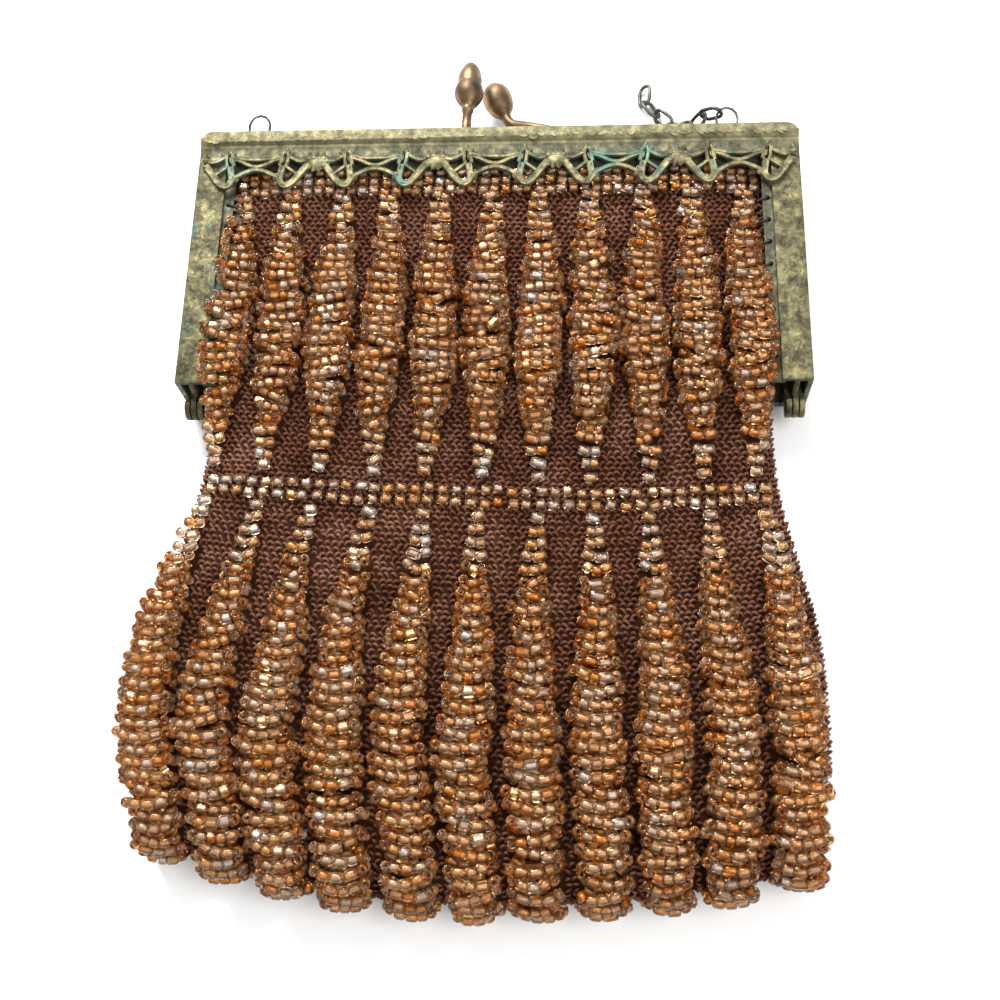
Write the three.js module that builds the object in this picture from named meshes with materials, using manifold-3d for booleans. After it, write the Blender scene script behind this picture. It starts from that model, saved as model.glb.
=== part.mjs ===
// A swag-knit beaded purse on a hinged brass frame with a two-knob snap clasp, lying on its back.
// Millimetres. +X is to the right, +Y runs up the purse towards the clasp and +Z is up from the surface.
// While it is built, x = 0 is the middle of the frame, y = 0 the top edge of the frame and z = 0 the surface.
import * as THREE from 'three';
import { mergeVertices } from 'three/addons/utils/BufferGeometryUtils.js';
import Module from 'manifold-3d';

const wasm = await Module();
wasm.setup();

// The frame: two stamped halves that close face to face on the parting plane.
const FRAME = {
  width: 127,
  armLength: 59,
  halfDepth: 7.3,
  partingGap: 0.4,
  cornerRadius: 2.5,
  sheet: 1.0, // outer wall
  plate: 0.9, // engraved face
  armFace: 6.0,
  barFace: 7.0,
  moulding: 2.6, // raised strip along the top edge
  mouldingRise: 1.1,
  cove: 1.8, // hollow slope from the moulding down to the face
  coveRise: 0.35, // height of its lower part
  riser: 0.7, // step from the face down to the sewing strip
  setback: 1.1,
  strip: 0.7, // sewing strip
  stripWidth: 2.0,
};
const PARTING = FRAME.halfDepth + FRAME.partingGap / 2;
const PLATE_TOP = FRAME.halfDepth - FRAME.mouldingRise;
const PLATE_UNDER = PLATE_TOP - FRAME.plate;
const STRIP_TOP = PLATE_TOP - FRAME.setback;
const STRIP_UNDER = STRIP_TOP - FRAME.strip;
const CLEARANCE = 0.3;

const SEWING = { firstY: -17, pitch: 5.2, count: 8, radius: 0.6, inset: 7.0, sides: 6 };
const HINGE = { pivotY: -61.6, radius: 2.6, leaf: 1.0, gap: 0.3, x: 60.4, pin: 0.8, bore: 1.1, gusset: 5 };
// A chain eye is a wire loop with spread feet in the top edge, listed from its right foot to its top.
const EYE = { leftX: -51.7, rightX: 49.0, depth: 4.2, wire: 0.3, top: [0, 6.1] };
const EYE_SIDE = [[2.6, -0.5], [2.1, 1.3], [2.25, 3.5], [1.5, 5.4]];

// The pierced lace border that lies on the face below the moulding. Its ribbons are mirrored about the
// middle of a repeat or about the knot between two repeats, joined into one ribbon or as a pair. They are
// listed from there outwards, y from the top line of the lace. A knot is a solid boss.
const LACE = { repeats: 5, topY: -5.4, thickness: 0.8, endInset: 0.4 };
const LACE_KNOT = { y: -2.4, halfWidth: 2.2, halfHeight: 1.9, sides: 8 };
const LACE_RIBBONS = [
  { name: 'rail', about: 'middle', joined: true, wide: 0.8, points: [[6.0, -1.2]] },
  { name: 'sag', about: 'middle', joined: true, wide: 0.8, points: [[1.4, -3.2], [5.0, -1.5]] },
  { name: 'arch', about: 'middle', joined: true, wide: 0.9, points: [[1.4, -4.4], [4.8, -6.2]] },
  {
    name: 'hoop',
    about: 'middle',
    joined: false,
    wide: 1.3,
    points: [[6.1, 0.4], [5.2, -6.6], [6.4, -8.2], [7.9, -7.3], [11.0, -2.9]],
  },
  { name: 'tie', about: 'middle', joined: false, wide: 0.7, points: [[5.8, -3.0], [8.6, -5.3]] },
  { name: 'dip', about: 'knot', joined: true, wide: 0.8, points: [[1.8, -1.8], [3.6, -2.2], [6.3, -0.6]] },
];

// The knitted pouch, by the level it has on the centre line. Left and right are its side edges, back and
// front its outer faces. The bottom edge rises towards both sides.
const POUCH = { wall: 1.4, topY: -4, bottomY: -158.5, foldLength: 5, leftRise: 9.5, rightRise: 6.5, riseBend: 2.2 };
const POUCH_ROWS = [
  { y: -4, left: -57, right: 57, back: 3.2, front: 11.8 },
  { y: -56, left: -57, right: 57, back: 3.2, front: 11.9 },
  { y: -68, left: -56.5, right: 56, back: 3.3, front: 12.0 },
  { y: -82, left: -57.5, right: 56.5, back: 3.3, front: 12.0 },
  { y: -98, left: -60.5, right: 59.5, back: 3.3, front: 12.2 },
  { y: -112, left: -64.5, right: 62.5, back: 3.3, front: 12.6 },
  { y: -128, left: -66.5, right: 63.5, back: 3.3, front: 12.8 },
  { y: -142, left: -64.5, right: 63.0, back: 3.3, front: 12.6 },
  { y: -153.5, left: -60.0, right: 60.0, back: 3.3, front: 12.0 },
  { y: -158.5, left: -57.0, right: 57.5, back: 3.3, front: 11.6 },
];
const POUCH_ACROSS = [-1, -0.98, -0.9, -0.65, 0, 0.65, 0.9, 0.98, 1];
const SIDE_BEND = 8; // how square the pouch's side edges are
const FOLD_ANGLES = [35, 65, 90];

// The bead swags: eleven columns down each face. Pitch and centre place the columns across, half and height
// are a column's size. A column is thick twice, above and below the single beads at the waist.
const SWAG = { columns: 11, lift: 0.45, backHeight: 0.58, endAngles: [30, 60, 84] };
const SWAG_ROWS = [
  { y: -13, centre: -0.9, pitch: 10.5, half: 1.0, height: 1.2 },
  { y: -32, centre: -0.9, pitch: 10.5, half: 3.9, height: 3.9 },
  { y: -52, centre: -1.0, pitch: 10.6, half: 4.7, height: 5.2 },
  { y: -62, centre: -1.1, pitch: 10.6, half: 4.0, height: 4.4 },
  { y: -72, centre: -1.2, pitch: 10.7, half: 2.4, height: 2.6 },
  { y: -82, centre: -1.2, pitch: 10.7, half: 0.9, height: 1.3 },
  { y: -98, centre: -1.8, pitch: 11.2, half: 2.6, height: 2.9 },
  { y: -116, centre: -2.6, pitch: 11.75, half: 4.4, height: 4.8 },
  { y: -134, centre: -2.8, pitch: 11.95, half: 5.0, height: 5.2 },
  { y: -153.5, centre: -1.0, pitch: 11.4, half: 4.8, height: 4.2 },
  { y: -158.5, centre: -0.6, pitch: 11.3, half: 4.0, height: 3.2 },
];
// Half of a swag's section, from its base to its crown, as shares of its half width and height.
const SWAG_SECTION = { front: [[1, 0], [0.88, 0.6], [0.42, 0.96]], back: [[1, 0], [0.72, 0.9]] };

// The snap clasp's acorn knobs, from the stem's foot to the tip.
const KNOB_PROFILE = [
  { y: 0.0, r: 1.5 },
  { y: 1.2, r: 1.05 },
  { y: 6.4, r: 1.0 },
  { y: 7.6, r: 1.4 },
  { y: 9.6, r: 2.6 },
  { y: 12.0, r: 3.15 },
  { y: 14.0, r: 2.75 },
  { y: 15.0, r: 2.5 },
  { y: 16.8, r: 2.2 },
  { y: 18.3, r: 1.4 },
];
const KNOB = { tip: 19.2, sides: 10, frontX: -6.8, frontZ: 11.4, frontLean: -2.2, neck: 7.6 };
const BACK_KNOB = { base: [1.9, 7.6, 5.2], lean: 20.8, foot: [19.5, 0.9, 4.2], rise: [10.0, 5.9, 4.8], stem: 0.85 };

// What is left of the carrying chain: oval links from the right eye to the surface behind the frame.
const LINK = { radius: 1.5, straight: 1.0, wire: 0.42, sides: 5, steps: 10, slack: 0.25 };
const CHAIN_PATH = [
  [46.9, 5.0, 11.9],
  [44.4, 5.7, 9.6],
  [42.4, 5.4, 6.8],
  [40.8, 6.2, 4.2],
  [38.8, 8.0, 2.4],
  [36.3, 10.6, 1.8],
  [33.6, 13.3, 1.7],
  [32.2, 16.5, 1.6],
  [32.6, 19.8, 1.6],
];
const CHAIN = { links: 7, lean: 45, settled: 6 };

const brass = new THREE.MeshStandardMaterial({ color: 0x80805a, roughness: 0.5, metalness: 0.85 });
const bronze = new THREE.MeshStandardMaterial({ color: 0x8a6e50, roughness: 0.35, metalness: 0.9 });
const steel = new THREE.MeshStandardMaterial({ color: 0x6f706c, roughness: 0.4, metalness: 0.9 });
const silk = new THREE.MeshStandardMaterial({ color: 0x4a2a1e, roughness: 0.9, metalness: 0 });
const amberGlass = new THREE.MeshStandardMaterial({ color: 0xb9793f, roughness: 0.2, metalness: 0 });

// Closed geometry to a solid, and back.
function solidOf(geometry) {
  const bare = geometry.clone();
  bare.deleteAttribute('normal');
  bare.deleteAttribute('uv');
  const merged = mergeVertices(bare, 1e-4);
  const triVerts = [];
  for (let i = 0; i < merged.index.count; i += 3) {
    const [a, b, c] = [0, 1, 2].map((k) => merged.index.getX(i + k));
    if (a !== b && b !== c && c !== a) triVerts.push(a, b, c);
  }
  return new wasm.Manifold(new wasm.Mesh({
    numProp: 3,
    vertProperties: merged.attributes.position.array,
    triVerts: new Uint32Array(triVerts),
  }));
}

function geometryOf(solid) {
  const mesh = solid.getMesh();
  const geometry = new THREE.BufferGeometry();
  geometry.setAttribute('position', new THREE.BufferAttribute(new Float32Array(mesh.vertProperties), 3));
  geometry.setIndex(new THREE.BufferAttribute(new Uint32Array(mesh.triVerts), 1));
  geometry.computeVertexNormals();
  return geometry;
}

function fuse(geometries) {
  return geometryOf(geometries.map(solidOf).reduce((whole, next) => whole.add(next)));
}

function cutAway(geometry, tools) {
  return geometryOf(tools.map(solidOf).reduce((whole, tool) => whole.subtract(tool), solidOf(geometry)));
}

function box(low, high) {
  const size = high.map((value, k) => value - low[k]);
  const middle = high.map((value, k) => (value + low[k]) / 2);
  return new THREE.BoxGeometry(...size).translate(...middle);
}

function extrude(shape, from, to, curveSegments = 4) {
  const options = { depth: to - from, bevelEnabled: false, curveSegments };
  return new THREE.ExtrudeGeometry(shape, options).translate(0, 0, from);
}

// Turns a section drawn in (y, depth) to stand across the X axis.
const ALONG_X = new THREE.Matrix4().makeBasis(
  new THREE.Vector3(0, 1, 0),
  new THREE.Vector3(0, 0, 1),
  new THREE.Vector3(1, 0, 0),
);

// A value of a table at a level between two of its rows.
function between(rows, y, column) {
  const next = Math.max(1, rows.findIndex((row) => row.y <= y));
  const [above, below] = [rows[next - 1], rows[next]];
  return THREE.MathUtils.mapLinear(y, above.y, below.y, above[column], below[column]);
}

// The frame

// A band that follows the frame's outline, between two distances in from its edge.
function frameBand(outer, inner) {
  const left = -FRAME.width / 2 + outer.arm;
  const right = FRAME.width / 2 - outer.arm;
  const top = -outer.bar;
  const foot = -FRAME.armLength;
  const corner = Math.max(FRAME.cornerRadius - outer.arm, 0.1);
  const shape = new THREE.Shape();
  shape.moveTo(left, foot);
  shape.lineTo(FRAME.width / -2 + inner.arm, foot);
  shape.lineTo(FRAME.width / -2 + inner.arm, -inner.bar);
  shape.lineTo(FRAME.width / 2 - inner.arm, -inner.bar);
  shape.lineTo(FRAME.width / 2 - inner.arm, foot);
  shape.lineTo(right, foot);
  shape.absarc(right - corner, top - corner, corner, 0, Math.PI / 2);
  shape.absarc(left + corner, top - corner, corner, Math.PI / 2, Math.PI);
  return shape;
}

function mouldingShape() {
  const half = FRAME.width / 2;
  const corner = FRAME.cornerRadius;
  const shape = new THREE.Shape();
  shape.moveTo(-half, -FRAME.moulding);
  shape.lineTo(half, -FRAME.moulding);
  shape.absarc(half - corner, -corner, corner, 0, Math.PI / 2);
  shape.absarc(-half + corner, -corner, corner, Math.PI / 2, Math.PI);
  return shape;
}

function sewingHoles() {
  const holes = [];
  for (const side of [-1, 1]) {
    for (let k = 0; k < SEWING.count; k += 1) {
      const x = side * (FRAME.width / 2 - SEWING.inset);
      const hole = new THREE.Path();
      hole.absarc(x, SEWING.firstY - k * SEWING.pitch, SEWING.radius, 0, 2 * Math.PI);
      holes.push(hole);
    }
  }
  return holes;
}

// A hinge leaf: a bored round end on the pivot and a gusset that runs up inside the arm to its face.
function hingeLeaf(x) {
  const [armEnd, gussetEnd] = [-FRAME.armLength, -FRAME.armLength + HINGE.gusset];
  const pivotDepth = -FRAME.partingGap / 2;
  const shape = new THREE.Shape();
  shape.moveTo(gussetEnd, 0);
  shape.lineTo(gussetEnd, PLATE_UNDER + FRAME.plate / 2);
  shape.lineTo(armEnd, PLATE_UNDER + FRAME.plate / 2);
  shape.absarc(HINGE.pivotY, pivotDepth, HINGE.radius, Math.PI / 4, -Math.PI / 2);
  shape.lineTo(armEnd, 0);
  const bore = new THREE.Path();
  bore.absarc(HINGE.pivotY, pivotDepth, HINGE.bore, 0, 2 * Math.PI);
  shape.holes.push(bore);
  return extrude(shape, -HINGE.leaf / 2, HINGE.leaf / 2).applyMatrix4(ALONG_X).translate(x, 0, 0);
}

function chainEye(x) {
  const left = EYE_SIDE.map(([across, y]) => [-across, y]).reverse();
  const loop = [...EYE_SIDE, EYE.top, ...left].map(([across, y]) => [x + across, y, EYE.depth]);
  return tube(loop, EYE.wire, 12, 6);
}

// The hollow slope along the moulding's lower edge.
function cove() {
  const [edge, foot] = [-FRAME.moulding, -FRAME.moulding - FRAME.cove];
  const section = [
    [edge + FRAME.sheet, PLATE_UNDER],
    [edge + FRAME.sheet, FRAME.halfDepth],
    [edge, FRAME.halfDepth],
    [edge - FRAME.cove / 3, PLATE_TOP + FRAME.coveRise],
    [foot, PLATE_TOP],
    [foot, PLATE_UNDER],
  ];
  const shape = new THREE.Shape(section.map(([y, depth]) => new THREE.Vector2(y, depth)));
  return extrude(shape, -FRAME.width / 2, FRAME.width / 2).applyMatrix4(ALONG_X);
}

// One half of the frame, with depth measured from its parting face out to the moulding.
function frameHalf(leafOffsets, eyes) {
  const outline = { arm: 0, bar: 0 };
  const wall = { arm: FRAME.sheet, bar: FRAME.sheet };
  const face = { arm: FRAME.armFace, bar: FRAME.barFace };
  const step = { arm: FRAME.armFace - FRAME.riser, bar: FRAME.barFace - FRAME.riser };
  const strip = { arm: FRAME.armFace + FRAME.stripWidth, bar: FRAME.barFace + FRAME.stripWidth };
  const stripShape = frameBand(step, strip);
  stripShape.holes = sewingHoles();
  return fuse([
    extrude(frameBand(outline, wall), 0, PLATE_TOP),
    extrude(frameBand(outline, face), PLATE_UNDER, PLATE_TOP),
    extrude(mouldingShape(), PLATE_UNDER, FRAME.halfDepth),
    cove(),
    extrude(frameBand(step, face), STRIP_UNDER, PLATE_UNDER + FRAME.plate / 2),
    extrude(stripShape, STRIP_UNDER, STRIP_TOP, SEWING.sides / 2),
    ...[-1, 1].flatMap((side) => leafOffsets.map((offset) => hingeLeaf(side * (HINGE.x + offset)))),
    ...eyes.map(chainEye),
  ]);
}

// The lace

// A flat ribbon of even width along a line of points.
function ribbon(points, wide) {
  const line = new THREE.SplineCurve(points.map(([x, y]) => new THREE.Vector2(x, y)));
  const [near, far] = [[], []];
  for (let k = 0; k < points.length; k += 1) {
    const point = line.points[k];
    const along = line.getTangent(k / (points.length - 1));
    const across = new THREE.Vector2(-along.y, along.x).multiplyScalar(wide / 2);
    near.push(point.clone().add(across));
    far.unshift(point.clone().sub(across));
  }
  return new THREE.Shape([...near, ...far]);
}

// A ribbon on both sides of its middle, as one line or as two.
function mirrored(points, joined) {
  const left = points.map(([x, y]) => [-x, y]);
  return joined ? [[...left.filter(([x]) => x < 0).reverse(), ...points]] : [left, points];
}

function laceKnot(x) {
  const shape = new THREE.Shape();
  shape.absellipse(x, LACE.topY + LACE_KNOT.y, LACE_KNOT.halfWidth, LACE_KNOT.halfHeight, 0, 2 * Math.PI);
  return extrude(shape, 0, LACE.thickness, LACE_KNOT.sides / 2);
}

function laceBorder() {
  const repeat = FRAME.width / LACE.repeats;
  const pieces = [];
  for (let k = 0; k <= LACE.repeats; k += 1) {
    const knot = k * repeat - FRAME.width / 2;
    pieces.push(laceKnot(knot));
    for (const { about, joined, wide, points } of LACE_RIBBONS) {
      if (about === 'middle' && k === LACE.repeats) continue;
      const middle = about === 'middle' ? knot + repeat / 2 : knot;
      for (const line of mirrored(points, joined)) {
        const placed = line.map(([x, y]) => [middle + x, LACE.topY + y]);
        pieces.push(extrude(ribbon(placed, wide), 0, LACE.thickness));
      }
    }
  }
  const end = FRAME.width / 2 - LACE.endInset;
  const beyond = [[-end - repeat, -end], [end, end + repeat]];
  const ends = beyond.map(([low, high]) => box([low, -FRAME.armLength, -1], [high, FRAME.armLength, 2]));
  return cutAway(fuse(pieces), ends);
}

// The pouch

const zMiddle = PARTING;

// How far the bottom edge rises at a place across, from -1 at the left side to 1 at the right.
function bottomRise(across) {
  const rise = across < 0 ? POUCH.leftRise : POUCH.rightRise;
  return rise * Math.abs(across) ** POUCH.riseBend;
}

// A point on the outside of the pouch, or inside it by an inset. Fold is the angle round the bottom fold.
function pouchPoint(y, fold, across, face, inset = 0) {
  const [left, right] = ['left', 'right'].map((column) => between(POUCH_ROWS, y, column));
  const level = between(POUCH_ROWS, y, face) - zMiddle;
  const share = (POUCH.topY - y) / (POUCH.topY - POUCH.bottomY);
  const side = Math.sqrt(Math.max(0, 1 - Math.abs(across) ** SIDE_BEND));
  const depth = level - Math.sign(level) * inset;
  return new THREE.Vector3(
    (left + right) / 2 + across * ((right - left) / 2 - inset),
    y + share * (bottomRise(across) + inset),
    zMiddle + depth * side * Math.cos(fold),
  );
}

// The levels down the pouch, with the angle of the bottom fold at each.
function pouchLevels() {
  const foldTop = POUCH.bottomY + POUCH.foldLength;
  const levels = POUCH_ROWS.filter((row) => row.y >= foldTop).map((row) => ({ y: row.y, fold: 0 }));
  for (const degrees of FOLD_ANGLES) {
    const fold = THREE.MathUtils.degToRad(degrees);
    levels.push({ y: foldTop - POUCH.foldLength * Math.sin(fold), fold });
  }
  return levels;
}

// A closed pillow: the front and back faces meet at the sides and the fold, and a lid closes the mouth.
function pillow(inset, lidY) {
  const levels = pouchLevels();
  const columns = POUCH_ACROSS.length;
  const points = [];
  for (const face of ['front', 'back']) {
    levels.forEach(({ y, fold }, row) => {
      for (const across of POUCH_ACROSS) {
        const point = pouchPoint(y, fold, across, face, inset);
        points.push(row === 0 ? point.setY(lidY) : point);
      }
    });
  }
  const back = levels.length * columns;
  const quads = [];
  for (let column = 0; column + 1 < columns; column += 1) {
    quads.push([column, column + 1, back + column + 1, back + column]);
    for (let row = 0; row + 1 < levels.length; row += 1) {
      const at = row * columns + column;
      quads.push([at, at + 1, at + 1 + columns, at + columns].reverse());
      quads.push([at, at + 1, at + 1 + columns, at + columns].map((corner) => corner + back));
    }
  }
  return quadGeometry(points, quads);
}

function quadGeometry(points, quads) {
  const geometry = new THREE.BufferGeometry().setFromPoints(points);
  geometry.setIndex(quads.flatMap(([a, b, c, d]) => [a, b, c, a, c, d]));
  return geometry;
}

function pouch() {
  return cutAway(pillow(0, POUCH.topY), [pillow(POUCH.wall, POUCH.topY + 1)]);
}

// The swags

// The stations down a swag: the table's own levels, then on round the bottom fold.
function swagStations() {
  const foldTop = POUCH.bottomY + POUCH.foldLength;
  const stations = SWAG_ROWS.filter((row) => row.y >= foldTop).map((row) => ({ y: row.y, fold: 0 }));
  for (const degrees of SWAG.endAngles) {
    const fold = THREE.MathUtils.degToRad(degrees);
    stations.push({ y: foldTop - POUCH.foldLength * Math.sin(fold), fold });
  }
  return stations;
}

// One column of swags as a rib that lies on the pouch. The back ones are flattened where they rest.
function swag(column, face) {
  const turn = face === 'front' ? 1 : -1;
  const crown = face === 'front' ? 1 : SWAG.backHeight;
  const section = [...SWAG_SECTION[face], ...SWAG_SECTION[face].map(([x, z]) => [-x, z]).reverse()];
  const stations = swagStations();
  const points = [];
  for (const { y, fold } of stations) {
    const [centre, pitch, half, height] = ['centre', 'pitch', 'half', 'height']
      .map((name) => between(SWAG_ROWS, y, name));
    const [left, right] = ['left', 'right'].map((name) => between(POUCH_ROWS, y, name));
    const x = centre + (column - (SWAG.columns - 1) / 2) * pitch;
    const level = between(POUCH_ROWS, y, face) - zMiddle;
    for (const [wide, high] of section) {
      const out = SWAG.lift + high * height * crown;
      const px = x + wide * half;
      const across = THREE.MathUtils.clamp((2 * px - left - right) / (right - left), -1, 1);
      points.push(new THREE.Vector3(
        px,
        pouchPoint(y, fold, across, face).y - out * Math.sin(fold),
        Math.max(0, zMiddle + (level + turn * out) * Math.cos(fold)),
      ));
    }
  }
  return ribGeometry(points, section.length, stations.length, turn);
}

// Skins the sections of a rib and closes both its ends.
function ribGeometry(points, around, stations, turn) {
  const quads = [];
  for (let station = 0; station + 1 < stations; station += 1) {
    for (let k = 0; k < around; k += 1) {
      const next = (k + 1) % around;
      const [a, b] = [station * around + k, station * around + next];
      quads.push([a, a + around, b + around, b]);
    }
  }
  const last = (stations - 1) * around;
  for (let k = 1; k + 2 < around; k += 2) {
    quads.push([0, k, k + 1, k + 2]);
    quads.push([last, last + k + 2, last + k + 1, last + k]);
  }
  return quadGeometry(points, turn > 0 ? quads.map((quad) => quad.reverse()) : quads);
}

// The space that an arm of the frame takes up, with clearance, which the outer swags are trimmed to.
function armRoom(side, face) {
  const edge = FRAME.width / 2 - FRAME.armFace - FRAME.stripWidth - CLEARANCE;
  const [inner, outer] = [edge, FRAME.width];
  const foot = HINGE.pivotY - HINGE.radius - CLEARANCE;
  const plate = PARTING + FRAME.partingGap / 2 + PLATE_TOP + CLEARANCE;
  const [low, high] = face === 'front' ? [-1, plate] : [-1, PARTING];
  return side > 0 ? box([inner, foot, low], [outer, 10, high]) : box([-outer, foot, low], [-inner, 10, high]);
}

// The clasp

function knobLathe(fromY) {
  const profile = KNOB_PROFILE.filter(({ y }) => y >= fromY);
  const points = [
    new THREE.Vector2(0, profile[0].y),
    ...profile.map(({ y, r }) => new THREE.Vector2(r, y)),
    new THREE.Vector2(0, KNOB.tip),
  ];
  return new THREE.LatheGeometry(points, KNOB.sides);
}

function tube(points, radius, steps, sides) {
  const section = new THREE.Shape();
  section.absarc(0, 0, radius, 0, 2 * Math.PI);
  const extrudePath = new THREE.CatmullRomCurve3(points.map((point) => new THREE.Vector3(...point)));
  return new THREE.ExtrudeGeometry(section, { steps, extrudePath, curveSegments: sides / 2 });
}

function frontKnob() {
  const lean = THREE.MathUtils.degToRad(KNOB.frontLean);
  return knobLathe(0).rotateZ(lean).translate(KNOB.frontX, CLEARANCE, KNOB.frontZ);
}

// The back knob leans over on a long stem that rises from its foot on the back half.
function backKnob() {
  const [x, y, z] = BACK_KNOB.base;
  const knob = knobLathe(KNOB.neck).translate(0, -KNOB.neck, 0);
  knob.rotateZ(THREE.MathUtils.degToRad(BACK_KNOB.lean)).translate(x, y, z);
  const lean = THREE.MathUtils.degToRad(BACK_KNOB.lean);
  const inside = [x - 1.5 * Math.sin(lean), y + 1.5 * Math.cos(lean), z];
  const stem = tube([BACK_KNOB.foot, BACK_KNOB.rise, [x + 0.6, y - 0.9, z], inside], BACK_KNOB.stem, 7, 6);
  return fuse([knob, stem]);
}

function hingePin() {
  const length = 3 * HINGE.leaf + 2 * HINGE.gap;
  return new THREE.CylinderGeometry(HINGE.pin, HINGE.pin, length, 10).rotateZ(Math.PI / 2);
}

// The chain

function chainLink() {
  const link = new THREE.TorusGeometry(LINK.radius, LINK.wire, LINK.sides, LINK.steps);
  const places = link.attributes.position;
  for (let k = 0; k < places.count; k += 1) {
    const x = places.getX(k);
    if (Math.abs(x) > 0.01) places.setX(k, x + Math.sign(x) * LINK.straight);
  }
  return link;
}

// Places a link along the chain, every second one turned a quarter about the chain's own line. The links
// lean over by the time they lie on the surface.
function placeLink(mesh, line, distance, number) {
  const at = distance / line.getLength();
  const along = line.getTangentAt(at);
  const upright = new THREE.Vector3(0, 0, 1).projectOnPlane(along).normalize();
  const sideways = new THREE.Vector3().crossVectors(upright, along);
  const lean = CHAIN.lean * Math.min(number / CHAIN.settled, 1);
  const turn = THREE.MathUtils.degToRad(90 * (number + 1) - lean);
  const normal = upright.multiplyScalar(Math.cos(turn)).addScaledVector(sideways, Math.sin(turn));
  const across = new THREE.Vector3().crossVectors(normal, along);
  mesh.position.copy(line.getPointAt(at));
  mesh.quaternion.setFromRotationMatrix(new THREE.Matrix4().makeBasis(along, across, normal));
}

// The assembly

const purse = new THREE.Group();

function add(name, geometry, material, parent = purse) {
  const mesh = new THREE.Mesh(geometry, material);
  mesh.name = name;
  parent.add(mesh);
  return mesh;
}

const halves = {
  front: { leaves: [0], eyes: [EYE.leftX, EYE.rightX], turn: 0, z: PARTING + FRAME.partingGap / 2 },
  back: {
    leaves: [-HINGE.leaf - HINGE.gap, HINGE.leaf + HINGE.gap],
    eyes: [],
    turn: Math.PI,
    z: PARTING - FRAME.partingGap / 2,
  },
};
const lace = laceBorder();
for (const [side, { leaves, eyes, turn, z }] of Object.entries(halves)) {
  const half = new THREE.Group();
  half.rotation.y = turn;
  half.position.z = z;
  purse.add(half);
  add(`frame_${side}`, frameHalf(leaves, eyes), brass, half);
  add(`lace_border_${side}`, lace, brass, half).position.z = PLATE_TOP + CLEARANCE;
}
for (const [side, place] of [['left', -1], ['right', 1]]) {
  add(`hinge_pin_${side}`, hingePin(), bronze).position.set(place * HINGE.x, HINGE.pivotY, PARTING);
}
add('clasp_knob_front', frontKnob(), bronze);
add('clasp_knob_back', backKnob(), bronze);

const chainLine = new THREE.CatmullRomCurve3(CHAIN_PATH.map((point) => new THREE.Vector3(...point)));
const linkReach = LINK.radius + LINK.straight;
const linkPitch = 2 * (linkReach - LINK.wire) - LINK.slack;
for (let k = 0; k < CHAIN.links; k += 1) {
  const first = linkReach - LINK.wire - EYE.wire - LINK.slack;
  placeLink(add(`chain_link_${k + 1}`, chainLink(), steel), chainLine, first + k * linkPitch, k);
}

add('knit_pouch', pouch(), silk);
for (const face of ['front', 'back']) {
  for (let column = 0; column < SWAG.columns; column += 1) {
    const outermost = column === 0 || column === SWAG.columns - 1;
    const rib = swag(column, face);
    const trimmed = outermost ? cutAway(rib, [armRoom(column ? 1 : -1, face)]) : rib;
    add(`bead_swag_${face}_${String(column + 1).padStart(2, '0')}`, trimmed, amberGlass);
  }
}

// The part's origin is under the middle of its box, on the surface that it lies on.
const bounds = new THREE.Box3().setFromObject(purse, true);
const middle = bounds.getCenter(new THREE.Vector3());
purse.position.set(-middle.x, -middle.y, -bounds.min.z);

const part = new THREE.Group();
part.add(purse);
export default part;
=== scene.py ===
import math

import bpy
import numpy as np
from mathutils import Matrix, Vector


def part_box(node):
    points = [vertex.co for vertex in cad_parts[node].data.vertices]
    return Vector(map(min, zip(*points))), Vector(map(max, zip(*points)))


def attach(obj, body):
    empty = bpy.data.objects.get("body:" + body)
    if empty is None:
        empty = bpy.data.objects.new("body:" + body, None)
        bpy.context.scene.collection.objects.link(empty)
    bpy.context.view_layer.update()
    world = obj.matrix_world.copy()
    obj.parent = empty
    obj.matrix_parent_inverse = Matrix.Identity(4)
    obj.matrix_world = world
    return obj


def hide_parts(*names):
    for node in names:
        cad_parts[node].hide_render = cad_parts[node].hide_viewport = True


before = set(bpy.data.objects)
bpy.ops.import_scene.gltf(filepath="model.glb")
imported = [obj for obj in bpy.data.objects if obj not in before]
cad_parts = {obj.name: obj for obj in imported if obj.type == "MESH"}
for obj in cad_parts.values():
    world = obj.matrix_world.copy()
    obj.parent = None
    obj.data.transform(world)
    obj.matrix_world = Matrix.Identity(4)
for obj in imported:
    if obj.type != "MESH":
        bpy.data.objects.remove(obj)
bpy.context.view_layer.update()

mm = 0.001
rng = np.random.default_rng(31)
print("frame loaded, nodes:", len(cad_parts))

# Everything is laid out in millimetres from the middle of the frame's top edge, as the solids are.
frontLow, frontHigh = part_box("frame_front")
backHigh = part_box("frame_back")[1]
topEdge = np.array([(frontLow.x + frontHigh.x) / 2, backHigh.y, 0.0])

camera = {"lens": 50, "place": (19.03, -177.85, 262.36), "turn": (20.68, 3.33, 1.22)}  # mm and degrees


def addCamera():
    bpy.ops.object.camera_add(location=np.array(camera["place"]) * mm + topEdge)
    made = bpy.context.object
    made.name = "photoCamera"
    made.rotation_euler = [math.radians(v) for v in camera["turn"]]
    made.data.lens = camera["lens"]
    made.data.sensor_width = 36
    made.data.clip_start = 0.01
    bpy.context.scene.camera = made


addCamera()
print("camera set")


# Small helpers

def deselectAll():
    if bpy.context.object and bpy.context.object.mode != "OBJECT":
        bpy.ops.object.mode_set(mode="OBJECT")
    bpy.ops.object.select_all(action="DESELECT")


def activate(obj):
    deselectAll()
    obj.select_set(True)
    bpy.context.view_layer.objects.active = obj


def editAll(obj):
    activate(obj)
    bpy.ops.object.mode_set(mode="EDIT")
    bpy.ops.mesh.select_all(action="SELECT")


def faceOutward(obj, smoothAngle):
    editAll(obj)
    bpy.ops.mesh.normals_make_consistent(inside=False)
    bpy.ops.object.mode_set(mode="OBJECT")
    bpy.ops.object.shade_smooth_by_angle(angle=math.radians(smoothAngle))


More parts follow.
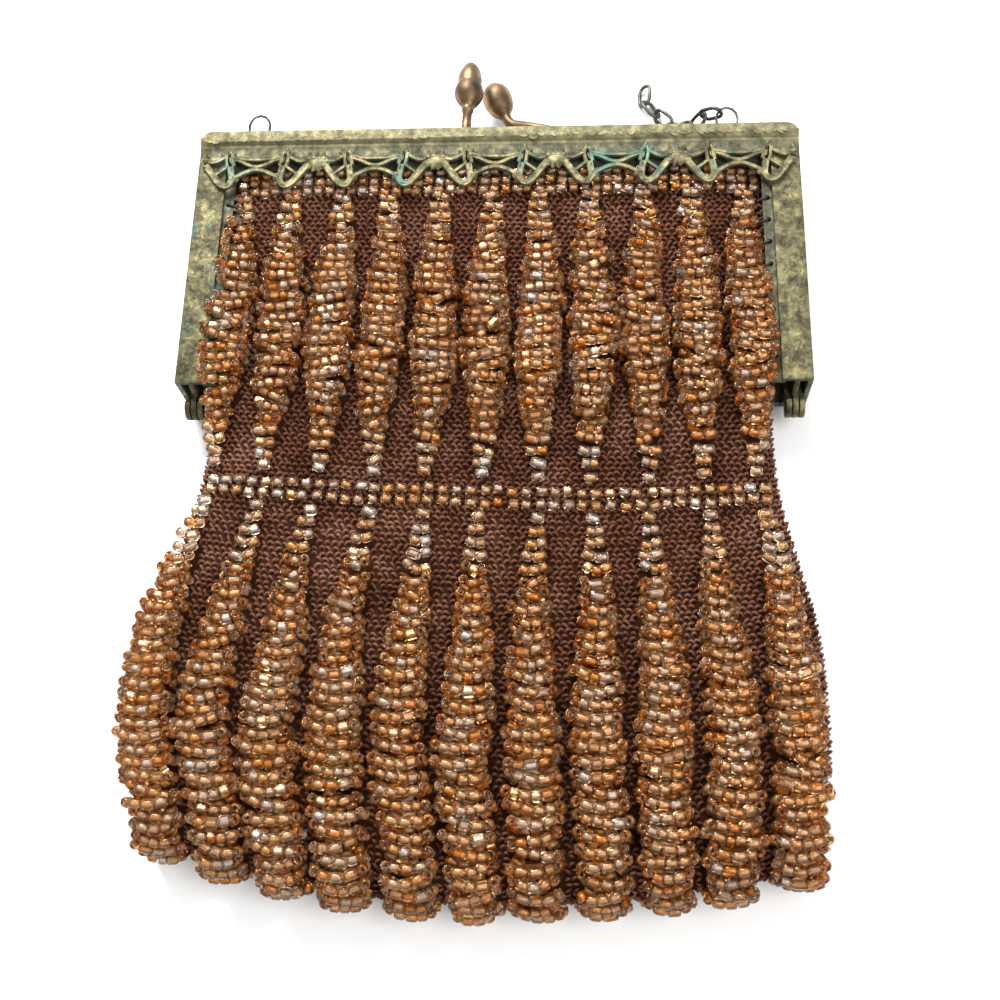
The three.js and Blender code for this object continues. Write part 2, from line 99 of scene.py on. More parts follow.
def bevelEdges(obj, width, segments, angle):
    bevel = obj.modifiers.new("bevel", "BEVEL")
    bevel.width = width
    bevel.segments = segments
    bevel.limit_method = "ANGLE"
    bevel.angle_limit = math.radians(angle)
    bpy.ops.object.modifier_apply(modifier="bevel")


def linear(hexColour):
    channels = [int(hexColour[k:k + 2], 16) / 255 for k in (1, 3, 5)]
    return [c / 12.92 if c <= 0.04045 else ((c + 0.055) / 1.055) ** 2.4 for c in channels] + [1.0]


def addNode(tree, kind, inputs=None, stops=None, **settings):
    made = tree.nodes.new(kind)
    for key, value in settings.items():
        setattr(made, key, value)
    for key, value in (inputs or {}).items():
        if isinstance(value, bpy.types.NodeSocket):
            tree.links.new(value, made.inputs[key])
        else:
            made.inputs[key].default_value = value
    if stops:
        ramp = made.color_ramp.elements
        while len(ramp) < len(stops):
            ramp.new(0.5)
        for element, (place, colour) in zip(ramp, stops):
            element.position = place
            element.color = linear(colour)
    return made


def startMaterial(name, **values):
    material = bpy.data.materials.new(name)
    material.use_nodes = True
    tree = material.node_tree
    shader = tree.nodes["Principled BSDF"]
    for key, value in values.items():
        shader.inputs[key].default_value = value
    return material, tree, shader


def meshFromArrays(name, points, faces, materials, slots=None, tones=None, smooth=True):
    mesh = bpy.data.meshes.new(name)
    points = np.asarray(points, float).reshape(-1, 3) * mm + topEdge
    corners = np.concatenate([f.ravel() for f in faces]).astype(np.int32)
    sizes = np.concatenate([np.full(len(f), f.shape[1]) for f in faces]).astype(np.int32)
    mesh.vertices.add(len(points))
    mesh.vertices.foreach_set("co", points.astype(np.float32).ravel())
    mesh.loops.add(len(corners))
    mesh.loops.foreach_set("vertex_index", corners)
    mesh.polygons.add(len(sizes))
    mesh.polygons.foreach_set("loop_start", np.concatenate([[0], np.cumsum(sizes)[:-1]]).astype(np.int32))
    for material in materials:
        mesh.materials.append(material)
    mesh.update(calc_edges=True)
    if slots is not None:
        mesh.polygons.foreach_set("material_index", np.asarray(slots, np.int32))
    mesh.polygons.foreach_set("use_smooth", np.broadcast_to(smooth, len(sizes)).copy())
    if tones is not None:
        toned = mesh.attributes.new("tone", "FLOAT", "POINT")
        toned.data.foreach_set("value", np.asarray(tones, np.float32))
    mesh.validate()
    obj = bpy.data.objects.new(name, mesh)
    bpy.context.scene.collection.objects.link(obj)
    return obj


def keep(obj, slotName, *nodes):
    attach(obj, "root")
    if nodes:
        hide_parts(*nodes)


# A table's rows, by the names of its columns.
def table(names, *rows):
    return [dict(zip(names, row)) for row in rows]


# A smooth value of a table's column at any level.
def column(rows, key, level):
    order = sorted(rows, key=lambda row: row["y"])
    ys = np.array([row["y"] for row in order])
    values = np.array([row[key] for row in order])
    slopes = np.gradient(values, ys)
    level = np.clip(np.asarray(level, float), ys[0], ys[-1])
    at = np.clip(np.searchsorted(ys, level) - 1, 0, len(ys) - 2)
    width = ys[at + 1] - ys[at]
    t = (level - ys[at]) / width
    return ((1 + 2 * t) * (1 - t) ** 2 * values[at] + t * (1 - t) ** 2 * width * slopes[at]
            + t * t * (3 - 2 * t) * values[at + 1] + t * t * (t - 1) * width * slopes[at + 1])


# Sweeps a section along many lines at once. Centres, sides and ups are arrays of lines by stations by 3.
def loft(centres, sides, ups, section):
    lines, stations, around = centres.shape[0], centres.shape[1], len(section)
    section = np.array(section, float)
    points = (centres[:, :, None] + sides[:, :, None] * section[None, None, :, :1]
              + ups[:, :, None] * section[None, None, :, 1:])
    index = np.arange(lines * stations * around).reshape(lines, stations, around)
    ring = np.roll(index, -1, axis=2)
    quads = np.stack([index[:, :-1], ring[:, :-1], ring[:, 1:], index[:, 1:]], -1).reshape(-1, 4)
    caps = np.concatenate([index[:, 0, ::-1], index[:, -1]])
    return points.reshape(-1, 3), [quads, caps]


def joinLofts(lofts):
    points, byCorners, offset = [], {}, 0
    for places, faces in lofts:
        points.append(places)
        for f in faces:
            byCorners.setdefault(f.shape[1], []).append(f + offset)
        offset += len(places)
    return np.concatenate(points), [np.concatenate(f) for f in byCorners.values()]


def roundSection(sides):
    turns = np.arange(sides) * 2 * math.pi / sides
    return np.stack([np.cos(turns), np.sin(turns)], -1)


# A smooth line through a few points, stepped evenly.
def smoothLine(points, step):
    points = np.array(points, float)
    if len(points) == 2:
        count = max(2, int(np.linalg.norm(points[1] - points[0]) / step) + 1)
        return points[0] + np.linspace(0, 1, count)[:, None] * (points[1] - points[0])
    ends = np.concatenate([[2 * points[0] - points[1]], points, [2 * points[-1] - points[-2]]])
    fine = []
    for k in range(len(points) - 1):
        a, b, c, d = ends[k:k + 4]
        t = np.linspace(0, 1, 24, endpoint=False)[:, None]
        fine.append(0.5 * (2 * b + (c - a) * t + (2 * a - 5 * b + 4 * c - d) * t ** 2
                           + (3 * b - a - 3 * c + d) * t ** 3))
    fine = np.concatenate(fine + [points[-1:]])
    along = np.concatenate([[0], np.cumsum(np.linalg.norm(np.diff(fine, axis=0), axis=1))])
    places = np.linspace(0, along[-1], max(3, int(along[-1] / step) + 1))
    return np.stack([np.interp(places, along, fine[:, k]) for k in range(points.shape[1])], -1)


def unit(vectors):
    return vectors / np.maximum(np.linalg.norm(vectors, axis=-1, keepdims=True), 1e-9)


# Materials

# Sizes of the patterns' grains in mm. Fibre, casting and twist are coarser than real ones, so that they show.
grain = {"dye": 8.333, "fibre": 0.3846, "patina": 2.5, "verdigris": 10.526, "casting": 1.111, "wear": 4.167,
         "oxide": 2.381, "twist": 0.6667}


def grainPattern(tree, kind, detail=2.0, roughness=0.5):
    place = addNode(tree, "ShaderNodeTexCoord").outputs["Object"]
    noise = addNode(tree, "ShaderNodeTexNoise", {"Vector": place, "Scale": 1 / (grain[kind] * mm),
                                                 "Detail": detail, "Roughness": roughness})
    return noise.outputs["Fac"]


def colourFrom(tree, shader, factor, stops):
    colour = addNode(tree, "ShaderNodeValToRGB", {"Fac": factor}, stops=stops)
    tree.links.new(colour.outputs["Color"], shader.inputs["Base Color"])


def toneColour(tree, shader, stops):
    tone = addNode(tree, "ShaderNodeAttribute", attribute_name="tone")
    colourFrom(tree, shader, tone.outputs["Fac"], stops)


# Roughness from one value to another, as the pattern goes from low to high.
def roughFrom(tree, shader, factor, low, high, start, end):
    rough = addNode(tree, "ShaderNodeMapRange", {"Value": factor, "From Min": low, "From Max": high,
                                                 "To Min": start, "To Max": end})
    tree.links.new(rough.outputs["Result"], shader.inputs["Roughness"])


def bumpFrom(tree, shader, factor, strength, height):
    bump = addNode(tree, "ShaderNodeBump", {"Height": factor, "Strength": strength, "Distance": height * mm})
    tree.links.new(bump.outputs["Normal"], shader.inputs["Normal"])


# Silk twist, hand-knitted: a soft matt brown with a slight lustre on the raised thread.
def silkKnit(name, shades, gloss):
    material, tree, shader = startMaterial(name, Roughness=0.7)
    shader.inputs["Specular IOR Level"].default_value = gloss
    colourFrom(tree, shader, grainPattern(tree, "dye", 5), list(zip((0.3, 0.5, 0.7), shades)))
    bumpFrom(tree, shader, grainPattern(tree, "fibre", 3), 0.4, 0.2)
    return material


# Colour-lined glass seed bead: clear amber glass with warm edges, which glows where light gets through it.
def amberGlass():
    material, tree, shader = startMaterial("amberGlass", Roughness=0.07, IOR=1.52)
    shader.inputs["Transmission Weight"].default_value = 0.97
    shader.inputs["Specular Tint"].default_value = linear("#ffe2c0")
    toneColour(tree, shader, [(0.0, "#e49943"), (0.25, "#ebb473"), (0.55, "#eec697"), (0.8, "#eed7c0"),
                              (1.0, "#f8f0e8")])
    return material


# The bead's lining: a beige-rose film inside the bore with a soft metal sheen, seen through the glass.
def roseLining():
    material, tree, shader = startMaterial("roseLining", Metallic=0.35, Roughness=0.45)
    toneColour(tree, shader, [(0.0, "#d0b09a"), (0.3, "#ccb3a4"), (0.6, "#c4b0a8"), (0.8, "#bcafaa"),
                              (1.0, "#d5cac6")])
    return material


# Stamped brass with old plating and patina: olive-grey with rubbed yellow and a little verdigris.
def antiqueBrass(name, shades, verdigris):
    material, tree, shader = startMaterial(name, Metallic=0.7)
    clouds = grainPattern(tree, "patina", 7, 0.7)
    base = addNode(tree, "ShaderNodeValToRGB", {"Fac": clouds},
                   stops=list(zip((0.34, 0.46, 0.56, 0.68), shades)))
    green = addNode(tree, "ShaderNodeValToRGB", {"Fac": grainPattern(tree, "verdigris", 5)},
                    stops=[(0.6 - verdigris, "#000000"), (0.78 - verdigris, "#ffffff")])
    mixed = addNode(tree, "ShaderNodeMix", {"Factor": green.outputs["Color"], 6: base.outputs["Color"],
                                            7: linear("#4c756b")}, data_type="RGBA")
    tree.links.new(mixed.outputs[2], shader.inputs["Base Color"])
    roughFrom(tree, shader, clouds, 0.3, 0.75, 0.72, 0.52)
    bumpFrom(tree, shader, grainPattern(tree, "casting", 5), 0.35, 0.2)
    return material


# Cast bronze, handled for years: brown with bright rubbed highlights.
def wornBronze():
    material, tree, shader = startMaterial("wornBronze", Metallic=0.9)
    wear = grainPattern(tree, "wear", 5)
    colourFrom(tree, shader, wear, [(0.3, "#45372a"), (0.5, "#6b5742"), (0.7, "#947a5a")])
    roughFrom(tree, shader, wear, 0.3, 0.7, 0.55, 0.36)
    bumpFrom(tree, shader, wear, 0.15, 0.4)
    return material


# Tarnished steel wire: grey with darker oxide in patches.
def tarnishedSteel():
    material, tree, shader = startMaterial("tarnishedSteel", Metallic=0.95)
    oxide = grainPattern(tree, "oxide", 4)
    colourFrom(tree, shader, oxide, [(0.3, "#2f2e2b"), (0.55, "#5b5a54"), (0.75, "#7d7a70")])
    roughFrom(tree, shader, oxide, 0.3, 0.7, 0.6, 0.38)
    return material


# Waxed black sewing silk, nearly matt.
def sewingSilk():
    material, tree, shader = startMaterial("sewingSilk", Roughness=0.7)
    colourFrom(tree, shader, grainPattern(tree, "twist"), [(0.35, "#17100d"), (0.7, "#3b271e")])
    return material


# The knitted pouch

knit = {"columns": 40, "rows": 62, "sunk": 0.55, "wall": 1.0, "top": -4.0, "bottom": -158.5, "fold": 5.0,
        "middle": 7.5, "sideBend": 8, "leftRise": 9.5, "rightRise": 6.5, "riseBend": 2.2, "merge": 0.02,
        "waist": -84.0, "waistReach": 16.0,
        # how far the waist is drawn up out of line, by place across
        "drawn": [(-1.0, 0.0), (-0.5, 1.2), (-0.15, 1.4), (0.2, 0.5), (0.55, -0.4), (1.0, -0.8)]}
pouchRows = table(
    ("y", "left", "right", "back", "front"),
    (-4, -57, 57, 3.2, 11.8),
    (-56, -57, 57, 3.2, 11.9),
    (-68, -56.5, 56, 3.3, 12.0),
    (-82, -57.5, 56.5, 3.3, 12.0),
    (-98, -60.5, 59.5, 3.3, 12.2),
    (-112, -64.5, 62.5, 3.3, 12.6),
    (-128, -66.5, 63.5, 3.3, 12.8),
    (-142, -64.5, 63.0, 3.3, 12.6),
    (-153.5, -60.0, 60.0, 3.3, 12.0),
    (-158.5, -57.0, 57.5, 3.3, 11.6),
)


# Level down the centre line and the angle round the bottom fold, at a length down the pouch.
def levelAndFold(down):
    foldTop = knit["bottom"] + knit["fold"]
    bend = np.clip((foldTop - down) / (knit["fold"] * math.pi / 2), 0, 1) * math.pi / 2
    return np.where(down > foldTop, down, foldTop - knit["fold"] * np.sin(bend)), bend


# A point on the pouch: across runs from -1 at the left side to 1 at the right.
def pouchPoint(down, across, face, sunk=0.0):
    level, bend = levelAndFold(np.asarray(down, float))
    across = np.asarray(across, float)
    left, right = column(pouchRows, "left", level), column(pouchRows, "right", level)
    depth = column(pouchRows, face, level) - knit["middle"]
    depth = depth - np.sign(depth) * sunk
    share = (knit["top"] - level) / (knit["top"] - knit["bottom"])
    rise = np.where(across < 0, knit["leftRise"], knit["rightRise"]) * np.abs(across) ** knit["riseBend"]
    waistPull = np.exp(-((level - knit["waist"]) / knit["waistReach"]) ** 2)
    drawn = np.interp(across, *zip(*knit["drawn"])) * waistPull
    side = np.sqrt(np.clip(1 - np.abs(across) ** knit["sideBend"], 0, 1))
    x = (left + right) / 2 + across * ((right - left) / 2 - sunk)
    y = level + share * (rise + sunk) + drawn
    z = knit["middle"] + depth * side * np.cos(bend)
    return np.stack(np.broadcast_arrays(x, y, z), -1)


def acrossOf(x, level):
    left, right = column(pouchRows, "left", level), column(pouchRows, "right", level)
    return np.clip((2 * x - left - right) / (right - left), -1, 1)


foldLength = knit["fold"] * math.pi / 2
pouchEnd = knit["bottom"] + knit["fold"] - foldLength


def pouchSheet(material):
    lofts = []
    for face in ("front", "back"):
        down = np.linspace(knit["top"], pouchEnd, knit["rows"] + 1)[:, None]
        across = np.sin(np.linspace(-1, 1, knit["columns"] + 1) * math.pi / 2)[None, :]
        points = pouchPoint(down, across, face, knit["sunk"])
        index = np.arange(points.shape[0] * points.shape[1]).reshape(points.shape[:2])
        quads = np.stack([index[1:, :-1], index[1:, 1:], index[:-1, 1:], index[:-1, :-1]], -1)
        quads = quads.reshape(-1, 4)
        lofts.append((points.reshape(-1, 3), [quads if face == "front" else quads[:, ::-1]]))
    points, faces = joinLofts(lofts)
    sheet = meshFromArrays("knit_pouch_sheet", points, faces, [material])
    editAll(sheet)
    bpy.ops.mesh.remove_doubles(threshold=knit["merge"] * mm)
    bpy.ops.object.mode_set(mode="OBJECT")
    sheet.modifiers.new("wall", "SOLIDIFY").thickness = knit["wall"] * mm
    bpy.ops.object.modifier_apply(modifier="wall")
    return sheet


# The bead swags' own sizes, by the level on the centre line

swag = {"columns": 11, "lift": 0.1, "backHeight": 0.58, "turnedEnds": 2.7, "underFrom": 3.2, "slip": 0.1,
        "foldEnd": 0.3, "foldEase": 1.6, "wander": 0.35, "wave": 0.13, "waveStep": 2.1}
tiers = table(
    ("top", "bottom", "pitch", "yaw", "sag", "loose"),
    (-15.6, -81.0, 2.55, 8.0, 0.5, 0.3),
    (-87.9, -161.0, 2.6, 5.5, 1.1, 0.22),
)
swagRows = table(
    ("y", "centre", "pitch", "half", "height"),
    (-13, -0.9, 10.5, 1.3, 1.6),
    (-19, -0.9, 10.5, 2.3, 2.2),
    (-24, -0.9, 10.5, 3.1, 2.9),
    (-31, -0.9, 10.5, 4.0, 3.8),
    (-42, -0.9, 10.55, 4.6, 4.8),
    (-52, -1.0, 10.6, 4.9, 5.2),
    (-62, -1.1, 10.6, 4.1, 4.4),
    (-72, -1.2, 10.7, 2.5, 2.8),
    (-82, -1.2, 10.7, 1.0, 1.7),
    (-94, -1.6, 11.1, 2.1, 2.5),
    (-104, -2.2, 11.4, 3.4, 3.8),
    (-116, -2.6, 11.75, 4.5, 4.8),
    (-134, -2.8, 11.95, 5.3, 5.2),
    (-153.5, -1.0, 11.4, 5.0, 4.4),
    (-158.5, -0.6, 11.3, 4.7, 3.4),
)


def columnX(number, level):
    middle = (swag["columns"] - 1) / 2
    wander = swag["wander"] * np.sin(level * swag["wave"] + number * swag["waveStep"])
    return column(swagRows, "centre", level) + (number - middle) * column(swagRows, "pitch", level) + wander


# Garter stitch: rows of thread bumps, each row set half a stitch over, where the swags leave the knit bare.
stitch = {"pitch": {"front": 1.42, "back": 1.62}, "row": {"front": 1.12, "back": 1.26}, "start": 2.0,
          "half": 0.7, "shortest": 0.75, "longest": 1.12, "bow": 0.38, "arch": 1.7, "thread": 0.3,
          "crown": 0.5, "foot": -0.25, "slant": 0.2, "slantSpread": 0.2, "scatter": 0.12, "under": 0.35,
          "sparse": 1.8, "side": 0.965}


def pouchNormal(down, across, face):
    sideways = (pouchPoint(down, np.clip(across + 0.01, -1, 1), face)
                - pouchPoint(down, np.clip(across - 0.01, -1, 1), face))
    upward = pouchPoint(down + 0.2, across, face) - pouchPoint(down - 0.2, across, face)
    return unit(np.cross(sideways, upward)) * (1 if face == "front" else -1), unit(sideways)


def stitchPlaces(face):
    places = []
    fine = np.sin(np.linspace(-1, 1, 161) * math.pi / 2)
    levels = np.arange(knit["top"] - stitch["start"], pouchEnd + 0.2, -stitch["row"][face])
    for row, down in enumerate(levels):
        line = pouchPoint(down, fine, face, knit["sunk"])
        length = np.concatenate([[0], np.cumsum(np.linalg.norm(np.diff(line, axis=0), axis=1))])
        count = int(length[-1] / stitch["pitch"][face])
        across = np.interp((np.arange(count) + 0.25 + 0.5 * (row % 2)) / count * length[-1], length, fine)
        x = np.interp(across, fine, line[:, 0])
        level = float(levelAndFold(np.array(down))[0])
        half = float(column(swagRows, "half", level))
        apart = np.min(np.abs(x[:, None] - columnX(np.arange(swag["columns"]), level)[None, :]), axis=1)
        cover = half - stitch["under"] if half > stitch["sparse"] else -1
        bare = (apart > cover) | (np.abs(across) > stitch["side"])
        places.append(np.stack([np.full(bare.sum(), down), across[bare], np.full(bare.sum(), row % 2)], -1))
    return np.concatenate(places)


def stitchArcs(name, places, face, stations, section, material):
    bend = np.linspace(-1, 1, stations)[None, :, None]
    seats = pouchPoint(places[:, 0], places[:, 1], face, knit["sunk"])
    outward, sideways = pouchNormal(places[:, 0], places[:, 1], face)
    upward = np.cross(outward, sideways) * (1 if face == "front" else -1)
    seats = seats + sideways * rng.normal(0, stitch["scatter"], (len(seats), 1))
    seats = seats + upward * rng.normal(0, stitch["scatter"], (len(seats), 1))
    slant = np.where(places[:, 2] > 0, 1, -1) * stitch["slant"]
    slant = slant + rng.normal(0, stitch["slantSpread"], len(seats))
    half = stitch["half"] * rng.uniform(stitch["shortest"], stitch["longest"], len(seats))
    sideways, upward, outward = sideways[:, None], upward[:, None], outward[:, None]
    bow = stitch["bow"] * (0.5 - np.abs(bend) ** stitch["arch"])
    centres = (seats[:, None] + sideways * bend * half[:, None, None]
               + upward * (bow + slant[:, None, None] * bend)
               + outward * (stitch["foot"] + (stitch["crown"] - stitch["foot"]) * (1 - bend ** 2)))
    along = unit(np.gradient(centres, axis=1))
    ups = np.repeat(outward, stations, axis=1) * stitch["thread"]
    sides = unit(np.cross(ups, along)) * stitch["thread"]
    points, faces = loft(centres, sides, ups, section)
    return meshFromArrays(name, points, faces, [material])


# The bead: a short tube with softened ends and a bore. Most are round, some are cut with flat sides.
bead = {"radius": 1.04, "length": 2.0, "spread": 0.14, "bore": 0.44, "edge": 0.2, "gap": 0.05, "cut": 0.2,
        "toneSpread": 0.2}


def beadPattern(sides, softEnds):
    deselectAll()
    bpy.ops.mesh.primitive_cylinder_add(vertices=sides, radius=1, depth=1, end_fill_type="NGON")
    made = bpy.context.object
    bpy.ops.object.mode_set(mode="EDIT")
    bpy.ops.mesh.select_mode(type="FACE")
    bpy.ops.mesh.select_all(action="DESELECT")
    bpy.ops.object.mode_set(mode="OBJECT")
    for face in made.data.polygons:
        face.select = abs(face.normal.z) > 0.9
    bpy.ops.object.mode_set(mode="EDIT")
    bpy.ops.mesh.inset(thickness=1 - bead["bore"] / bead["radius"])
    bpy.ops.mesh.bridge_edge_loops()
    bpy.ops.object.mode_set(mode="OBJECT")
    if softEnds:
        bevelEdges(made, bead["edge"], 1, 70)
    points = np.array([v.co for v in made.data.vertices])
    faces = {}
    for face in made.data.polygons:
        lined = np.linalg.norm(np.array(face.center[:2])) < 0.6 and abs(face.normal.z) < 0.3
        faces.setdefault(len(face.vertices), []).append((list(face.vertices), int(lined)))
    bpy.data.objects.remove(made)
    return points, [[np.array(v) for v in zip(*rows)] for rows in faces.values()]


# Joins one copy of the bead at each place, turned along its thread.
def beadMesh(name, beads, pattern, materials):
    protoPoints, protoFaces = pattern
    centres, axes, lengths, radii, rolls, tones = (np.array(v) for v in zip(*beads))
    axes = unit(axes)
    guide = np.where(np.abs(axes[:, 2:]) < 0.9, [[0.0, 0.0, 1.0]], [[0.0, 1.0, 0.0]])
    first = unit(np.cross(guide, axes))
    second = np.cross(axes, first)
    cos, sin = np.cos(rolls)[:, None], np.sin(rolls)[:, None]
    first, second = first * cos + second * sin, second * cos - first * sin
    points = (centres[:, None]
              + protoPoints[None, :, :1] * (first * radii[:, None])[:, None]
              + protoPoints[None, :, 1:2] * (second * radii[:, None])[:, None]
              + protoPoints[None, :, 2:] * (axes * lengths[:, None])[:, None])
    shift = (np.arange(len(centres)) * len(protoPoints))[:, None, None]
    faces = [(f[None] + shift).reshape(-1, f.shape[1]) for f, _ in protoFaces]
    slots = np.concatenate([np.tile(lined, len(centres)) for _, lined in protoFaces])
    smooth = np.concatenate([np.repeat(rolls > bead["cut"] * math.pi, len(f)) for f, _ in protoFaces])
    return meshFromArrays(name, points, faces, materials, slots, np.repeat(tones, len(protoPoints)), smooth)


# One strung loop of beads across a swag. Its crest stands off the knit and leans down the column, and on the
# front the string turns down sharply at both ends, so that the end beads show their holes.
loop = {"freeHalf": 3.5, "halfSpread": 0.06, "heightSpread": 0.05, "tuckedHalf": 0.84, "tuckedHeight": 0.66,
        "side": 0.9, "seat": 0.9, "shoulder": 0.84, "crown": 0.16, "narrowest": 2.0, "sagSpread": 0.6,
        "sagMiddle": 0.3, "wildShare": 0.12, "wildYaw": 2.0, "nudge": 0.1, "ahead": 0.4, "leastSize": 0.65,
        "mostSize": 1.35, "thinnest": 0.93, "thickest": 1.05, "turnSpread": 0.25, "tipSpread": 0.1,
        "tone": 0.42, "narrowTone": 0.3, "tuckedShadeTone": 0.12, "slimHalf": 1.0, "slimRange": 2.0}
# the beads at a loop's two ends, and the hidden ones below them
loopEnd = {"inset": 0.1, "reach": 0.75, "drop": 0.35, "dropSpread": 0.15, "lean": 0.25, "splay": 0.1,
           "splaySpread": 0.3, "shortest": 0.75, "tone": 0.15, "hiddenFrom": 2.0, "hiddenOut": 0.15,
           "hiddenDrop": 2.4}


def beadLoop(number, down, face, tier, tucked=False):
    level, bend = (float(v) for v in levelAndFold(np.array(down)))
    turn = 1 if face == "front" else -1
    half = float(column(swagRows, "half", level))
    free = min(1.0, half / loop["freeHalf"])
    half *= 1 + rng.normal(0, loop["halfSpread"]) * free
    height = float(column(swagRows, "height", level)) * (1 if turn > 0 else swag["backHeight"])
    height *= 1 + rng.normal(0, loop["heightSpread"])
    if tucked:
        half, height = half * loop["tuckedHalf"], height * loop["tuckedHeight"]
    x = float(columnX(number, level)) + rng.normal(0, tier["loose"]) * free
    across = acrossOf(x, level)
    seat = pouchPoint(down, np.clip(across, -loop["side"], loop["side"]), face)
    seat = np.array([x, pouchPoint(down, across, face)[1], seat[2]])
    out = np.array([0, -math.sin(bend), turn * math.cos(bend)])
    away = np.array([0, -math.cos(bend), -turn * math.sin(bend)])
    wide, tall = max(half - bead["radius"], 0.0), max(height - 2 * bead["radius"], 0.0)
    yaw = rng.normal(0, tier["yaw"])
    yaw = math.tan(math.radians(yaw * (loop["wildYaw"] if rng.random() < loop["wildShare"] else 1.0)))
    sag = tier["sag"] * free + rng.normal(0, loop["sagSpread"] * tier["loose"])
    narrow = 1 - min(1.0, (half - loop["slimHalf"]) / loop["slimRange"])
    # the tucked loops get deeper amber glass, as painted shade between the crests
    pale = loop["tuckedShadeTone"] if tucked else loop["tone"] + loop["narrowTone"] * narrow

    def at(sideways, drop=0.0, nudge=0.0):
        bow = 1 - (sideways / max(wide, loop["narrowest"])) ** 2
        rise = (swag["lift"] + loop["seat"] * bead["radius"]
                + tall * (loop["shoulder"] + loop["crown"] * bow) - drop)
        lag = sag * (bow - loop["sagMiddle"]) + yaw * sideways + nudge
        return clearOfFrame(seat + np.array([sideways, 0, 0]) + out * rise + away * lag, face)

    def strung(centre, axis, size, tone=pale, leastRoll=0.0):
        radius = bead["radius"] * rng.uniform(loop["thinnest"], loop["thickest"])
        return centre, axis, size, radius, rng.uniform(leastRoll, math.pi), beadTone(tone)

    beads, hidden = [], []
    turnedEnds = turn > 0 and not tucked and half > swag["turnedEnds"]
    reach = wide - loopEnd["reach"] * bead["radius"] if turnedEnds else wide + bead["length"] / 2
    count = max(1, int(round(2 * reach / (bead["length"] + bead["gap"]))))
    sizes = np.clip(rng.normal(1, bead["spread"], count), loop["leastSize"], loop["mostSize"])
    sizes *= (2 * reach / count - bead["gap"]) / sizes.mean()
    ends = np.cumsum(sizes + bead["gap"])
    places = (ends - (sizes + bead["gap"]) / 2) / ends[-1] * 2 * reach - reach
    for place, size in zip(places, sizes):
        nudge = rng.normal(0, loop["nudge"])
        axis = at(place + loop["ahead"], 0, nudge) - at(place - loop["ahead"], 0, nudge)
        if count == 1:
            axis = np.array([1.0, rng.normal(0, loop["turnSpread"]), rng.normal(0, loop["tipSpread"])])
        beads.append(strung(at(place, 0, nudge), axis, size))
    for side in (-1, 1) if turnedEnds else ():
        lean = out + away * rng.normal(0, loopEnd["lean"])
        lean = lean + np.array([side * rng.normal(loopEnd["splay"], loopEnd["splaySpread"]), 0, 0])
        size = bead["length"] * rng.uniform(loopEnd["shortest"], 1.0)
        centre = at(side * (wide - loopEnd["inset"]), rng.normal(loopEnd["drop"], loopEnd["dropSpread"]))
        beads.append(strung(centre, lean, size, loopEnd["tone"], bead["cut"] * math.pi))
        if tall > loopEnd["hiddenFrom"]:
            centre = at(side * (wide + loopEnd["hiddenOut"]), loopEnd["hiddenDrop"])
            hidden.append(strung(centre, out, bead["length"]))
    return beads, hidden


# Where a bead stands between deep amber and pale, nearly clear glass.
def beadTone(middle):
    return float(np.clip(rng.normal(middle, bead["toneSpread"]), 0, 1))


# Beads that hang over an arm of the frame lie on its face, and those at the back lie on the surface.
armLine = {"crest": 54.8, "row": 54.6, "under": 54.4, "end": -60, "face": 13.9, "floor": 0.2}


def clearOfFrame(point, face):
    if face == "back":
        point[2] = max(point[2], bead["radius"] + armLine["floor"])
    elif abs(point[0]) > armLine["crest"] and point[1] > armLine["end"]:
        point[2] = max(point[2], armLine["face"] + bead["radius"])
    return point


# Loops follow each other a bead apart, closer round the bottom fold, where their crests fan out. On the front
# the loops underneath show between the crests.
def swagColumn(number, face):
    beads, under = [], []
    for tier in tiers:
        down = tier["top"]
        while down > max(tier["bottom"], pouchEnd + swag["foldEnd"]):
            shown, hidden = beadLoop(number, down + rng.normal(0, swag["slip"]), face, tier)
            beads += shown
            under += hidden
            height = float(column(swagRows, "height", float(levelAndFold(np.array(down))[0])))
            nearing = down - tier["pitch"] < knit["bottom"] + knit["fold"]
            closer = knit["fold"] / (knit["fold"] + height - swag["foldEase"]) if nearing else 1
            step = tier["pitch"] * closer
            if face == "front" and height > swag["underFrom"]:
                under += beadLoop(number, down - step / 2, face, tier, tucked=True)[0]
            down -= step
    return beads, [b for b in under if abs(b[0][0]) < armLine["under"] or b[0][1] < armLine["end"]]


# Rows of single beads knitted straight across: the band under the lace and the double line at the waist.
rowsAcross = table(
    ("y", "pale", "pitch"),
    (-9.8, 0.5, 2.3),
    (-11.9, 0.5, 2.3),
    (-14.0, 0.55, 2.3),
    (-82.9, 0.6, 2.68),
    (-85.4, 0.6, 2.68),
)
# The row's beads in shares of the loops' beads, and how far they stray.
rowBead = {"shortest": 0.82, "longest": 1.04, "radius": 0.95, "thinnest": 0.95, "thickest": 1.06, "margin": 2,
           "stand": 0.8, "alongSpread": 0.15, "downSpread": 0.18, "turnSpread": 0.15, "tipSpread": 0.08}


